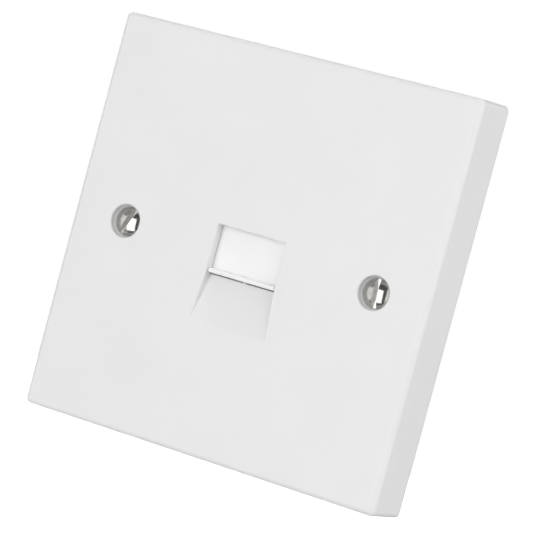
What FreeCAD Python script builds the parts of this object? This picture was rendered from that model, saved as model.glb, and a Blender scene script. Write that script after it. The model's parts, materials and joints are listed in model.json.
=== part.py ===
import FreeCAD, Part
import math
import os

# Telephone wall socket: a moulded face plate for a single wall box, a sprung shutter
# behind its front wall, and a jack module with a circuit board and wire terminals.
# +X is right and +Z is up, seen from the room. The front faces -Y, the wall is the
# plane y = 0 and the origin is midway between the two fixing screws.

# Face plate
plate_size = 86.0
plate_depth = 11.8
front_wall = 2.0
side_wall = 2.0
side_draft = 0.15
corner_radius = 1.2
inner_corner_radius = 1.0
front_edge_radius = 1.0

# Fixing screws and their bosses, at a standard 60.3 mm between centres
screw_inset = 12.85
thread_radius = 1.75
neck_radius = 1.5
screw_length = 25.0
screw_point = 1.0
head_radius = 3.1
head_rim = 0.15
dome_height = 0.85
slot_width = 1.05
slot_depth = 1.1
left_slot_lean = 22.8
right_slot_lean = -4.2
recess_radius = 3.5
recess_depth = 1.35
recess_chamfer = 0.2
screw_hole_gap = 0.15
seat_gap = 0.02
boss_wall = 3.35
boss_setback = 2.6
retainer_radius = 4.0
retainer_thickness = 1.0
retainer_gap = 0.1
thread_start_gap = 0.2

# Ribs inside the plate
rib_thickness = 1.2
rib_depth = 3.4
rib_x = 21.5
rib_z = 26.0

# Aperture and the ramp below it
aperture_width = 16.5
aperture_height = 10.45
aperture_edge_radius = 0.2
ramp_top_z = -5.65
ramp_length = 10.2
ramp_depth = 2.25
ramp_bottom_width = 18.2
stop_width = 0.5
stop_thickness = 0.8

# Shutter and its spring
running_gap = 0.2
door_thickness = 1.4
door_side_overlap = 0.75
door_top_overlap = 1.8
door_edge_radius = 0.3
lip_height = 1.0
lip_gap = 0.3
lip_recess = 0.2
lip_end_gap = 0.15
lip_end_radius = 0.6
lip_front_radius = 0.35
travel_margin = 0.65
rail_width = 1.3
rail_gap = 0.15
spring_radius = 1.3
spring_wire = 0.3
spring_wire_sides = 6
spring_turn_steps = 12
spring_coils = 6
spring_spare = 0.8
spigot_gap = 0.25
spring_boss_height = 1.6
spring_slot_gap = 0.35
shelf_thickness = 1.8
shelf_margin = 0.4

# Jack body
cavity_width = 14.8
cavity_height = 7.8
cavity_depth = 12.5
cavity_step = 0.3
jack_wall = 1.6
jack_floor = 1.2
jack_back = 1.5
flange_thickness = 1.2
ear_reach = 4.6
ear_setback = 4.5
ear_thickness = 2.0
ear_radius = 3.2
latch_width = 3.5
latch_length = 3.0
latch_setback = 3.0
peg_radius = 1.0
peg_x = 6.0
peg_drop = 1.6
peg_tip = 0.6

# Module screws and the posts that they cut into
core_radius = 1.0
core_gap = 0.05
ear_hole_gap = 0.35
module_screw_length = 7.0
module_screw_tip = 0.8
module_head_radius = 2.3
module_head_height = 1.5
module_head_edge = 0.4
cross_width = 0.7
cross_length = 2.4
cross_depth = 0.8
post_radius = 3.0
pilot_spare = 0.5

# Contact carrier and its six wires
contact_count = 6
contact_pitch = 1.6
contact_width = 0.6
contact_thickness = 0.3
groove_gap = 0.15
groove_seat = 0.02
groove_depth = 1.2
carrier_height = 2.0
carrier_gap = 0.05
carrier_setback = 0.3
bend_radius = 0.6
bend_setback = 1.8
finger_length = 8.0
finger_angle = 18.0
pin_standout = 0.8

# Circuit board
board_thickness = 1.6
board_margin = 1.0
board_corner = 1.0
pin_hole_gap = 0.12
peg_hole_gap = 0.1

# Terminal strips and their forks
forks_per_strip = 3
terminal_pitch = 5.0
strip_end = 0.6
strip_width = 7.5
strip_depth = 10.0
strip_inset = 0.8
strip_edge = 0.5
wire_slot_width = 1.3
wire_slot_depth = 6.5
wire_slot_lead = 0.5
fork_width = 3.4
fork_thickness = 0.5
fork_height = 8.2
fork_slot_width = 0.4
fork_slot_depth = 4.6
fork_lead = 0.5
fork_gap = 0.05
leg_width = 0.8
leg_standout = 1.0
leg_hole_gap = 0.12

# Planes from the front to the back
front_y = -plate_depth
inner_y = front_y + front_wall
door_front_y = inner_y + running_gap
door_back_y = door_front_y + door_thickness
module_front_y = door_back_y + running_gap
flange_back_y = module_front_y + flange_thickness
module_back_y = module_front_y + cavity_depth + jack_back
board_back_y = module_back_y + board_thickness
strip_back_y = board_back_y + strip_depth
ear_front_y = module_front_y + ear_setback
ear_back_y = ear_front_y + ear_thickness
boss_back_y = -boss_setback
retainer_back_y = boss_back_y + retainer_thickness

# Heights
aperture_top_z = ramp_top_z + aperture_height
ramp_bottom_z = ramp_top_z - ramp_length
lip_bottom_z = ramp_top_z + lip_gap
lip_top_z = lip_bottom_z + lip_height
door_top_z = aperture_top_z + door_top_overlap
shutter_travel = aperture_top_z - lip_top_z - travel_margin
spring_shut = (spring_coils + 1) * spring_wire + spring_spare
spring_seat_z = door_top_z + shutter_travel + spring_shut
shelf_top_z = spring_seat_z + shelf_thickness
cavity_floor_z = ramp_top_z + cavity_step
cavity_top_z = cavity_floor_z + cavity_height
cavity_mid_z = (cavity_floor_z + cavity_top_z) / 2
carrier_floor_z = cavity_floor_z - carrier_height
jack_bottom_z = carrier_floor_z - jack_floor
jack_top_z = cavity_top_z + jack_wall
contact_z = cavity_floor_z - groove_depth + contact_thickness / 2 + groove_seat

# Half widths and centres
screw_x = plate_size / 2 - screw_inset
door_half = aperture_width / 2 + door_side_overlap
rail_outer = door_half + rail_gap + rail_width
jack_half = cavity_width / 2 + jack_wall
ear_x = jack_half + ear_reach
spring_y = door_front_y + running_gap + spring_radius
spigot_radius = spring_radius - spring_wire - spigot_gap
spigot_length = (spring_shut - spigot_gap) / 2
spring_boss_half = spring_radius
strip_half = (forks_per_strip * terminal_pitch) / 2 + strip_end
strip_x = ear_x - strip_inset
board_half = strip_x + strip_width / 2 + board_margin
hole_radius = thread_radius + screw_hole_gap
boss_radius = hole_radius + boss_wall


def box(x0, x1, y0, y1, z0, z1):
    """A block between two corners."""
    return Part.makeBox(x1 - x0, y1 - y0, z1 - z0, FreeCAD.Vector(x0, y0, z0))


def rod(radius, x, y0, y1, z):
    """A cylinder along Y from y0 to y1."""
    return Part.makeCylinder(radius, y1 - y0, FreeCAD.Vector(x, y0, z), FreeCAD.Vector(0, 1, 0))


def upright(radius, x, y, z0, z1):
    """A cylinder along Z from z0 to z1."""
    return Part.makeCylinder(radius, z1 - z0, FreeCAD.Vector(x, y, z0))


def cone_rod(radius0, radius1, x, y0, y1, z):
    """A cone along Y, with radius0 at y0 and radius1 at y1."""
    return Part.makeCone(radius0, radius1, y1 - y0, FreeCAD.Vector(x, y0, z), FreeCAD.Vector(0, 1, 0))


def rounded_square(half_x, half_z, radius, y, mid_z=0.0):
    """A closed wire round a rectangle with round corners, in a plane of constant y."""
    turn = radius * math.cos(math.pi / 4)
    edges = []
    for quarter in range(4):
        sx, sz = ((1, 1), (-1, 1), (-1, -1), (1, -1))[quarter]
        cx, cz = sx * (half_x - radius), mid_z + sz * (half_z - radius)
        side = FreeCAD.Vector(cx + sx * radius, y, cz)
        end = FreeCAD.Vector(cx, y, cz + sz * radius)
        middle = FreeCAD.Vector(cx + sx * turn, y, cz + sz * turn)
        first, last = (side, end) if sx * sz > 0 else (end, side)
        if edges:
            edges.append(Part.makeLine(edges[-1].lastVertex().Point, first))
        edges.append(Part.Arc(first, middle, last).toShape())
    edges.append(Part.makeLine(edges[-1].lastVertex().Point, edges[0].firstVertex().Point))
    return Part.Wire(edges)


def rounded_block(half_x, half_z, radius, y0, y1, mid_z=0.0):
    """A block along Y with round corners in plan."""
    face = Part.Face(rounded_square(half_x, half_z, radius, y0, mid_z))
    return face.extrude(FreeCAD.Vector(0, y1 - y0, 0))


def prism_x(points, half_width):
    """A straight bar along X from a closed outline of (y, z) points."""
    corners = [FreeCAD.Vector(-half_width, y, z) for y, z in points]
    face = Part.Face(Part.makePolygon(corners + corners[:1]))
    return face.extrude(FreeCAD.Vector(2 * half_width, 0, 0))


def prism_y(points, y0, y1):
    """A straight bar along Y from a closed outline of (x, z) points."""
    corners = [FreeCAD.Vector(x, y0, z) for x, z in points]
    face = Part.Face(Part.makePolygon(corners + corners[:1]))
    return face.extrude(FreeCAD.Vector(0, y1 - y0, 0))


def edges_where(shape, test):
    """The straight edges whose midpoint and direction pass the test."""
    found = []
    for edge in shape.Edges:
        if len(edge.Vertexes) == 2 and isinstance(edge.Curve, Part.Line):
            start, end = edge.Vertexes[0].Point, edge.Vertexes[1].Point
            if test((start + end) / 2, end - start):
                found.append(edge)
    return found


def is_along(direction, axis):
    """True where an edge's direction is parallel to an axis, given as 0, 1 or 2."""
    return all(abs(direction[other]) < 1e-6 for other in range(3) if other != axis)


def plate_shell():
    """The plate's outside with its draft and soft front edge, and the hollow behind it."""
    back = plate_size / 2
    front = back - side_draft
    outside = Part.makeWedge(-front, front_y, -front, -back, -back, front, 0, front, back, back)
    outside = outside.makeFillet(corner_radius, edges_where(outside, lambda middle, line: abs(line.y) > 1))
    rim = [edge for edge in outside.Edges if edge.BoundBox.YMax < front_y + 1e-4]
    outside = outside.makeFillet(front_edge_radius, rim)
    inside = plate_size / 2 - side_wall
    return outside.cut(rounded_block(inside, inside, inner_corner_radius, inner_y, 1.0))


def plate_ribs():
    """A grid of ribs behind the front wall, and a rib from each boss to the side wall."""
    inside = plate_size / 2 - side_wall / 2
    back_y = inner_y + rib_depth
    start_y = inner_y - front_wall / 2
    half = rib_thickness / 2
    ribs = []
    for side in (-1, 1):
        ribs.append(box(side * rib_x - half, side * rib_x + half, start_y, back_y, -inside, inside))
        ribs.append(box(-inside, inside, start_y, back_y, side * rib_z - half, side * rib_z + half))
        ends = sorted((side * screw_x, side * inside))
        ribs.append(box(ends[0], ends[1], start_y, back_y, -half, half))
    return ribs


def shutter_channel():
    """Two rails that guide the shutter, the shelf above its spring, and the shelf's spigot."""
    start_y = inner_y - front_wall / 2
    pieces = []
    for side in (-1, 1):
        ends = sorted((side * (door_half + rail_gap), side * rail_outer))
        pieces.append(box(ends[0], ends[1], start_y, module_front_y, ramp_top_z, shelf_top_z))
    shelf_back_y = spring_y + spring_radius + shelf_margin
    shelf_half = door_half + rail_gap + rail_width / 2
    pieces.append(box(-shelf_half, shelf_half, start_y, module_front_y, spring_seat_z, shelf_top_z))
    pieces.append(box(-spring_boss_half - shelf_margin, spring_boss_half + shelf_margin,
                      start_y, shelf_back_y, spring_seat_z, shelf_top_z))
    pieces.append(upright(spigot_radius, 0, spring_y, spring_seat_z - spigot_length,
                          spring_seat_z + shelf_thickness / 2))
    return pieces


def ramp_backing():
    """The thick ledge behind the ramp, which the jack body's front bears on."""
    start_y = inner_y - front_wall / 2
    outline = [(start_y, ramp_top_z), (module_front_y, ramp_top_z), (module_front_y, jack_bottom_z),
               (inner_y, ramp_bottom_z), (start_y, ramp_bottom_z)]
    return prism_x(outline, rail_outer)


def ramp_cut():
    """The sloping recess that runs out flush below the aperture and widens downwards."""
    above_y = front_y - front_wall
    rise = ramp_depth / ramp_length * front_wall
    slope = [(above_y, ramp_top_z), (front_y + ramp_depth, ramp_top_z), (front_y, ramp_bottom_z),
             (front_y - rise, ramp_bottom_z - front_wall), (above_y, ramp_bottom_z - front_wall)]
    wedge = prism_x(slope, ramp_bottom_width)
    top, bottom = aperture_width / 2, ramp_bottom_width / 2
    plan = [(-top, ramp_top_z), (top, ramp_top_z), (bottom, ramp_bottom_z), (-bottom, ramp_bottom_z)]
    return wedge.common(prism_y(plan, above_y, front_y + ramp_depth))


def screw_seat(x):
    """The round recess, the 90 degree seat and the clearance hole of a fixing screw."""
    seat_y = front_y + recess_depth
    seat_end_y = seat_y + recess_radius - hole_radius
    hole = rod(recess_radius, x, front_y - 1, seat_y, 0)
    hole = hole.fuse(cone_rod(recess_radius + recess_chamfer, recess_radius, x, front_y,
                              front_y + recess_chamfer, 0))
    hole = hole.fuse(cone_rod(recess_radius, hole_radius, x, seat_y, seat_end_y, 0))
    return hole.fuse(rod(hole_radius, x, seat_end_y, 1.0, 0))


def face_plate():
    """The moulded plate with its bosses, ribs, shutter channel, ramp and module posts."""
    plate = plate_shell()
    additions = plate_ribs() + shutter_channel() + [ramp_backing()]
    start_y = inner_y - front_wall / 2
    for side in (-1, 1):
        additions.append(rod(boss_radius, side * screw_x, start_y, boss_back_y, 0))
        additions.append(rod(post_radius, side * ear_x, start_y, ear_front_y, cavity_mid_z))
    plate = plate.multiFuse(additions)
    half = aperture_width / 2
    pilot_end_y = ear_back_y - module_screw_length - pilot_spare
    cuts = [box(-half, half, front_y - 1, inner_y + running_gap, ramp_top_z, aperture_top_z), ramp_cut()]
    for side in (-1, 1):
        cuts.append(screw_seat(side * screw_x))
        cuts.append(rod(core_radius + core_gap, side * ear_x, pilot_end_y, ear_front_y + 1, cavity_mid_z))
    plate = plate.cut(cuts)
    aperture_rim = edges_where(plate, lambda middle, line: abs(middle.y - front_y) < 1e-4
                               and abs(line.y) < 1e-6 and middle.z > ramp_top_z
                               and middle.z < aperture_top_z + 1e-4 and abs(middle.x) < half + 1e-4)
    plate = plate.makeFillet(aperture_edge_radius, aperture_rim)
    stop_y = front_y + ramp_depth
    stop = box(-stop_width / 2, stop_width / 2, stop_y, stop_y + stop_thickness,
               ramp_top_z - stop_width / 2, lip_bottom_z)
    return plate.fuse(stop).removeSplitter()


def shutter():
    """The sliding door with the lip that is lifted, and a boss and spigot for the spring."""
    door = box(-door_half, door_half, door_front_y, door_back_y, lip_bottom_z, door_top_z)
    corners = edges_where(door, lambda middle, line: is_along(line, 1))
    door = door.makeFillet(door_edge_radius, corners)
    lip_half = aperture_width / 2 - lip_end_gap
    lip_front_y = front_y + lip_recess
    lip = box(-lip_half, lip_half, lip_front_y, door_front_y + door_thickness / 2,
              lip_bottom_z, lip_top_z)
    ends = edges_where(lip, lambda middle, line: is_along(line, 2) and middle.y < door_front_y)
    lip = lip.makeFillet(lip_end_radius, ends)
    front = [edge for edge in lip.Edges if edge.BoundBox.YMax < door_front_y - 0.01
             and edge.BoundBox.ZLength < 1e-6]
    front += edges_where(lip, lambda middle, line: is_along(line, 1))
    lip = lip.makeFillet(lip_front_radius, front)
    boss_back = spring_y + spring_radius
    boss = box(-spring_boss_half, spring_boss_half, door_front_y + door_thickness / 2, boss_back,
               door_top_z - spring_boss_height, door_top_z)
    spigot = upright(spigot_radius, 0, spring_y, door_top_z - spring_boss_height / 2,
                     door_top_z + spigot_length)
    return door.multiFuse([lip, boss, spigot]).removeSplitter()


def shutter_spring():
    """A coil spring between the shutter's top and the shelf, as a many-sided wire in short chords."""
    length = spring_seat_z - door_top_z - spring_wire - 2 * seat_gap
    mean_radius = spring_radius - spring_wire / 2
    steps = spring_coils * spring_turn_steps
    turn = 2 * math.pi / spring_turn_steps
    path = []
    for step in range(steps + 1):
        angle = step * turn
        path.append(FreeCAD.Vector(mean_radius * math.cos(angle), mean_radius * math.sin(angle),
                                   length * step / steps))
    along = (path[1] - path[0]).normalize()
    outward = FreeCAD.Vector(math.cos(turn / 2), math.sin(turn / 2), 0) * (spring_wire / 2)
    upward = outward.cross(along)
    section = []
    for side in range(spring_wire_sides + 1):
        angle = 2 * math.pi * side / spring_wire_sides
        section.append(path[0] + outward * math.cos(angle) + upward * math.sin(angle))
    sweep = Part.BRepOffsetAPI.MakePipeShell(Part.makePolygon(path))
    sweep.setTransitionMode(1)
    sweep.add(Part.makePolygon(section))
    sweep.build()
    sweep.makeSolid()
    coil = sweep.shape()
    coil.translate(FreeCAD.Vector(0, spring_y, door_top_z + seat_gap + spring_wire / 2))
    return coil


def jack_body():
    """The plug's box with a flange over the shutter's channel, two ears and two board pegs."""
    body = box(-jack_half, jack_half, module_front_y, module_back_y, jack_bottom_z, jack_top_z)
    flange_top_z = spring_seat_z - shelf_margin
    flange = box(-rail_outer, rail_outer, module_front_y, flange_back_y, jack_bottom_z, flange_top_z)
    additions = [flange]
    peg_z = cavity_top_z - peg_drop
    for side in (-1, 1):
        inner, outer = side * jack_half / 2, side * ear_x
        ends = sorted((inner, outer))
        additions.append(box(ends[0], ends[1], ear_front_y, ear_back_y,
                             cavity_mid_z - ear_radius, cavity_mid_z + ear_radius))
        additions.append(rod(ear_radius, outer, ear_front_y, ear_back_y, cavity_mid_z))
        tip_y = board_back_y + peg_tip
        additions.append(rod(peg_radius, side * peg_x, module_back_y - jack_back / 2, board_back_y, peg_z))
        additions.append(cone_rod(peg_radius, peg_radius - peg_tip / 2, side * peg_x, board_back_y,
                                  tip_y, peg_z))
    body = body.multiFuse(additions)
    half = cavity_width / 2
    cavity_back_y = module_front_y + cavity_depth
    cavity = box(-half, half, module_front_y - 1, cavity_back_y, carrier_floor_z, cavity_top_z)
    window = box(-half, half, cavity_back_y - 1, module_back_y + 1, carrier_floor_z, cavity_floor_z)
    slot_half = spring_radius + spring_slot_gap
    slot_bottom_z = max(jack_top_z, door_top_z - spring_boss_height - spring_slot_gap)
    spring_slot = box(-slot_half, slot_half, module_front_y - 1, flange_back_y + 1,
                      slot_bottom_z, flange_top_z + 1)
    latch_y = module_front_y + latch_setback
    latch = box(half - 1, jack_half + 1, latch_y, latch_y + latch_length,
                cavity_mid_z - latch_width / 2, cavity_mid_z + latch_width / 2)
    cuts = [cavity, window, spring_slot, latch]
    for side in (-1, 1):
        cuts.append(rod(core_radius + ear_hole_gap, side * ear_x, ear_front_y - 1, ear_back_y + 1,
                        cavity_mid_z))
    return body.cut(cuts).removeSplitter()


def contact_x(index):
    """The place of one contact wire across the jack, counted from the left."""
    return (index - (contact_count - 1) / 2) * contact_pitch


def contact_carrier():
    """The moulded insert in the jack's floor, with one open groove for each wire."""
    half = cavity_width / 2 - carrier_gap
    carrier = box(-half, half, module_front_y + carrier_setback, module_back_y,
                  carrier_floor_z + carrier_gap, cavity_floor_z - carrier_gap)
    groove_half = contact_width / 2 + groove_gap
    cuts = []
    for index in range(contact_count):
        x = contact_x(index)
        cuts.append(box(x - groove_half, x + groove_half, module_front_y, module_back_y + 1,
                        cavity_floor_z - groove_depth, cavity_floor_z + 1))
    return carrier.cut(cuts)


def contact_wire(x):
    """A flat spring wire: a pin through the board, a run in its groove, a bend and a finger."""
    bend_y = module_front_y + bend_setback
    centre_z = contact_z + bend_radius
    angle = math.radians(finger_angle)
    middle = (math.pi + angle) / 2

    def on_bend(heading):
        return FreeCAD.Vector(x, bend_y - bend_radius * math.sin(heading),
                              centre_z + bend_radius * math.cos(heading))

    pin = FreeCAD.Vector(x, board_back_y + pin_standout, contact_z)
    bend_start = FreeCAD.Vector(x, bend_y, contact_z)
    bend_end = on_bend(angle)
    finger = bend_end + FreeCAD.Vector(0, math.cos(angle), math.sin(angle)) * finger_length
    path = Part.Wire([Part.makeLine(pin, bend_start),
                      Part.Arc(bend_start, on_bend(middle), bend_end).toShape(),
                      Part.makeLine(bend_end, finger)])
    wide, thick = contact_width / 2, contact_thickness / 2
    corners = [pin + FreeCAD.Vector(sx * wide, 0, sz * thick)
               for sx, sz in ((-1, -1), (1, -1), (1, 1), (-1, 1), (-1, -1))]
    return path.makePipeShell([Part.makePolygon(corners)], True, False)


def terminal_places():
    """The (x, z) centre of each fork: the left strip from the top down, then the right."""
    middle = (forks_per_strip - 1) / 2
    return [(side * strip_x, cavity_mid_z + (middle - row) * terminal_pitch)
            for side in (-1, 1) for row in range(forks_per_strip)]


def circuit_board():
    """The board behind the jack, punched for the wires' pins, the pegs and the forks' legs."""
    half_height = strip_half + board_margin
    board = rounded_block(board_half, half_height, board_corner, module_back_y, board_back_y,
                          cavity_mid_z)
    holes = [(contact_x(index), contact_z, contact_width / 2 + pin_hole_gap,
              contact_thickness / 2 + pin_hole_gap) for index in range(contact_count)]
    holes += [(x, z, fork_thickness / 2 + leg_hole_gap, leg_width / 2 + leg_hole_gap)
              for x, z in terminal_places()]
    cuts = [box(x - half_x, x + half_x, module_back_y - 1, board_back_y + 1, z - half_z, z + half_z)
            for x, z, half_x, half_z in holes]
    for side in (-1, 1):
        cuts.append(rod(peg_radius + peg_hole_gap, side * peg_x, module_back_y - 1, board_back_y + 1,
                        cavity_top_z - peg_drop))
    return board.cut(cuts)


def terminal_strip(side):
    """A block of push-in wire terminals, with a wire slot and a fork pocket for each."""
    x = side * strip_x
    left, right = x - strip_width / 2, x + strip_width / 2
    strip = box(left, right, board_back_y, strip_back_y, cavity_mid_z - strip_half,
                cavity_mid_z + strip_half)
    rim = edges_where(strip, lambda middle, line: middle.y > strip_back_y - 1e-6)
    strip = strip.makeChamfer(strip_edge, rim)
    slot_y = strip_back_y - wire_slot_depth
    pocket_half = fork_width / 2 + fork_gap
    pocket_x = fork_thickness / 2 + fork_gap
    pocket_end_y = board_back_y + fork_height + fork_gap
    cuts = []
    for place_x, z in terminal_places():
        if place_x * side < 0:
            continue
        half = wire_slot_width / 2
        cuts.append(box(left - 1, right + 1, slot_y, strip_back_y + 1, z - half, z + half))
        lead = [(strip_back_y - wire_slot_lead, z - half), (strip_back_y + 1, z - half - wire_slot_lead - 1),
                (strip_back_y + 1, z + half + wire_slot_lead + 1), (strip_back_y - wire_slot_lead, z + half)]
        funnel = prism_x(lead, strip_width)
        funnel.translate(FreeCAD.Vector(x, 0, 0))
        cuts.append(funnel)
        cuts.append(box(x - pocket_x, x + pocket_x, board_back_y - 1, pocket_end_y,
                        z - pocket_half, z + pocket_half))
    return strip.cut(cuts)


def terminal_fork(x, z):
    """A sheet metal fork that grips the wire in its slot, with a leg through the board."""
    foot_y = board_back_y + fork_gap
    top_y = board_back_y + fork_height
    half, slot = fork_width / 2, fork_slot_width / 2
    slot_y = top_y - fork_slot_depth
    lead_y = top_y - fork_lead
    leg = leg_width / 2
    leg_y = module_back_y - leg_standout
    outline = [(leg_y, -leg), (foot_y, -leg), (foot_y, -half), (top_y, -half),
               (top_y, -slot - fork_lead), (lead_y, -slot), (slot_y, -slot), (slot_y, slot),
               (lead_y, slot), (top_y, slot + fork_lead), (top_y, half), (foot_y, half),
               (foot_y, leg), (leg_y, leg)]
    fork = prism_x(outline, fork_thickness / 2)
    fork.translate(FreeCAD.Vector(x, 0, z))
    return fork


def fixing_screw(x, slot_lean):
    """A raised countersunk screw with a waisted neck that keeps it in the plate."""
    cone_y = front_y + recess_depth + (recess_radius - head_radius) - seat_gap
    rim_y = cone_y - head_rim
    neck_y = cone_y + head_radius - neck_radius
    thread_y = retainer_back_y + thread_start_gap
    tip_y = rim_y + screw_length
    top = FreeCAD.Vector(0, rim_y - dome_height, 0)
    rim = FreeCAD.Vector(head_radius, rim_y, 0)
    dome_radius = (head_radius ** 2 + dome_height ** 2) / (2 * dome_height)
    half_angle = math.asin(head_radius / dome_radius) / 2
    on_dome = FreeCAD.Vector(dome_radius * math.sin(half_angle),
                             top.y + dome_radius * (1 - math.cos(half_angle)), 0)
    corners = [(head_radius, rim_y), (head_radius, cone_y), (neck_radius, neck_y),
               (neck_radius, thread_y), (thread_radius, thread_y), (thread_radius, tip_y - screw_point),
               (thread_radius - screw_point, tip_y), (0, tip_y), (0, top.y)]
    points = [FreeCAD.Vector(r, y, 0) for r, y in corners]
    edges = [Part.Arc(top, on_dome, rim).toShape()]
    edges += [Part.makeLine(start, end) for start, end in zip(points, points[1:])]
    screw = Part.Face(Part.Wire(edges)).revolve(FreeCAD.Vector(0, 0, 0), FreeCAD.Vector(0, 1, 0), 360)
    half = slot_width / 2
    slot = box(-half, half, top.y - 1, top.y + slot_depth, -2 * head_radius, 2 * head_radius)
    slot.rotate(FreeCAD.Vector(0, 0, 0), FreeCAD.Vector(0, 1, 0), slot_lean)
    screw = screw.cut(slot)
    screw.translate(FreeCAD.Vector(x, 0, 0))
    return screw


def screw_retainer(x):
    """The soft washer behind a boss that keeps the fixing screw from falling out."""
    ring = rod(retainer_radius, x, boss_back_y, retainer_back_y, 0)
    return ring.cut(rod(neck_radius + retainer_gap, x, boss_back_y - 1, retainer_back_y + 1, 0))


def module_screw(x):
    """A pan head screw through an ear of the jack body into a post of the plate."""
    tip_y = ear_back_y - module_screw_length
    head = rod(module_head_radius, x, ear_back_y, ear_back_y + module_head_height, cavity_mid_z)
    rim = [edge for edge in head.Edges if edge.BoundBox.YMin > ear_back_y + module_head_height - 1e-6]
    head = head.makeChamfer(module_head_edge, rim)
    shank = rod(core_radius, x, tip_y + module_screw_tip, ear_back_y + module_head_height / 2, cavity_mid_z)
    point = cone_rod(core_radius / 3, core_radius, x, tip_y, tip_y + module_screw_tip, cavity_mid_z)
    screw = head.multiFuse([shank, point])
    floor_y = ear_back_y + module_head_height - cross_depth
    long, short = cross_length / 2, cross_width / 2
    cross = box(x - long, x + long, floor_y, ear_back_y + 2 * module_head_height,
                cavity_mid_z - short, cavity_mid_z + short)
    cross = cross.fuse(box(x - short, x + short, floor_y, ear_back_y + 2 * module_head_height,
                           cavity_mid_z - long, cavity_mid_z + long))
    return screw.cut(cross).removeSplitter()


def build():
    """Every piece by its node name."""
    pieces = {"face_plate": face_plate(), "shutter": shutter(), "shutter_spring": shutter_spring(),
              "jack_body": jack_body(), "contact_carrier": contact_carrier(),
              "circuit_board": circuit_board()}
    for index in range(contact_count):
        pieces[f"contact_wire_{index + 1}"] = contact_wire(contact_x(index))
    for side, name, lean in ((-1, "left", left_slot_lean), (1, "right", right_slot_lean)):
        pieces[f"terminal_strip_{name}"] = terminal_strip(side)
        pieces[f"module_screw_{name}"] = module_screw(side * ear_x)
        pieces[f"fixing_screw_{name}"] = fixing_screw(side * screw_x, lean)
        pieces[f"screw_retainer_{name}"] = screw_retainer(side * screw_x)
    for number, (x, z) in enumerate(terminal_places(), 1):
        pieces[f"terminal_fork_{number}"] = terminal_fork(x, z)
    return pieces


os.makedirs("parts", exist_ok=True)
for node, shape in build().items():
    shape.exportStep(f"parts/{node}.step")
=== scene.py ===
import bmesh
import bpy
import json
import math
from mathutils import Matrix, Vector

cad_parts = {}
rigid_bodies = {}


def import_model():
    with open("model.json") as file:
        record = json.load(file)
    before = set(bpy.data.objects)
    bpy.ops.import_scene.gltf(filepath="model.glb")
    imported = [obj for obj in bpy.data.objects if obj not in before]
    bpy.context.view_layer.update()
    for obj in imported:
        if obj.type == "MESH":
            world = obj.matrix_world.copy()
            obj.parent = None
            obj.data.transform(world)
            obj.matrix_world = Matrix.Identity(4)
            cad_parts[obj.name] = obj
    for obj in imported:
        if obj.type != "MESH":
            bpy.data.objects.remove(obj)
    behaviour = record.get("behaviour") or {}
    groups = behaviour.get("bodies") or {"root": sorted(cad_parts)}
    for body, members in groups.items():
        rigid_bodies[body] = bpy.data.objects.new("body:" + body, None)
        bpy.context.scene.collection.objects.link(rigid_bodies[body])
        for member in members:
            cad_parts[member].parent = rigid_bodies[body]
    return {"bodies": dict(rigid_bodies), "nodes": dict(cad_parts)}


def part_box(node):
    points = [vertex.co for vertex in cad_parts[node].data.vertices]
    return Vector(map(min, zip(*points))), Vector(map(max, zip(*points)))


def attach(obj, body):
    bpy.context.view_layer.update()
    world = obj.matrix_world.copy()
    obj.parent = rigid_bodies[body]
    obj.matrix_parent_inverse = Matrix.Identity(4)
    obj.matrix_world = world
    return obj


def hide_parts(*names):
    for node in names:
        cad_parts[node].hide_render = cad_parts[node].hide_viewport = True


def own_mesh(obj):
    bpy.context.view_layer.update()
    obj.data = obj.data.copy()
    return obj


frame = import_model()
for leftover in set(bpy.data.objects) - set(frame["bodies"].values()) - set(frame["nodes"].values()):
    bpy.data.objects.remove(leftover)
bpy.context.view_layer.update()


# Face plate. One thick moulding in white thermosetting plastic with a smooth satin front, hollow
# behind, with ribs, screw bosses, the shutter's rails and the ramp. Two screws hold it to the wall box.
mm = 0.001
plate_white = (0.83, 0.83, 0.83, 1)
plate_roughness = 0.34
plate_clouding = 0.012
plate_edge = 0.12 * mm
rim_edge = 0.5 * mm
rim_reach = 1.0 * mm
edge_samples = 6
pin_mark_radius = 2.6 * mm
pin_mark_place = (31.5 * mm, 34.0 * mm)
pin_mark_depth = 0.06 * mm
pin_mark_start = 1.5 * mm
recess_place = 30.15 * mm
recess_radius = 3.7 * mm
recess_start = 0.03 * mm
recess_blend = 0.6 * mm
# Painted shade in the screw recesses: the colour factor near the head and the one at the recess's rim.
recess_painted_shade = (0.7, 0.94)
cloud_scale = 70.0
noise_low, noise_high = 0.3, 0.7
hairline_scale = 1400.0
hairline_stretch = (1.0, 1.0, 0.06)
hairline_turn = (0.4, 0.3, 0.9)
hairline_low, hairline_high = 0.70, 0.76
hairline_dulling = 0.08
gloss_change = 0.03


def add_node(tree, kind, inputs=None, **settings):
    """A new node with its settings, and with a value or a link for each named input."""
    node = tree.nodes.new("ShaderNode" + kind)
    for name, value in settings.items():
        setattr(node, name, value)
    for name, value in (inputs or {}).items():
        if isinstance(value, bpy.types.NodeSocket):
            tree.links.new(value, node.inputs[name])
        else:
            node.inputs[name].default_value = value
    return node


def new_group(name, inputs, outputs):
    """An empty shader node group with its input and output nodes. Inputs come with their defaults."""
    tree = bpy.data.node_groups.new(name, "ShaderNodeTree")
    kinds = {float: "NodeSocketFloat", tuple: "NodeSocketColor"}
    for label, value in inputs.items():
        socket = tree.interface.new_socket(label, in_out="INPUT", socket_type=kinds[type(value)])
        socket.default_value = value
    for label, kind in outputs.items():
        tree.interface.new_socket(label, in_out="OUTPUT", socket_type="NodeSocket" + kind)
    return tree, tree.nodes.new("NodeGroupInput"), tree.nodes.new("NodeGroupOutput")


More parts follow.
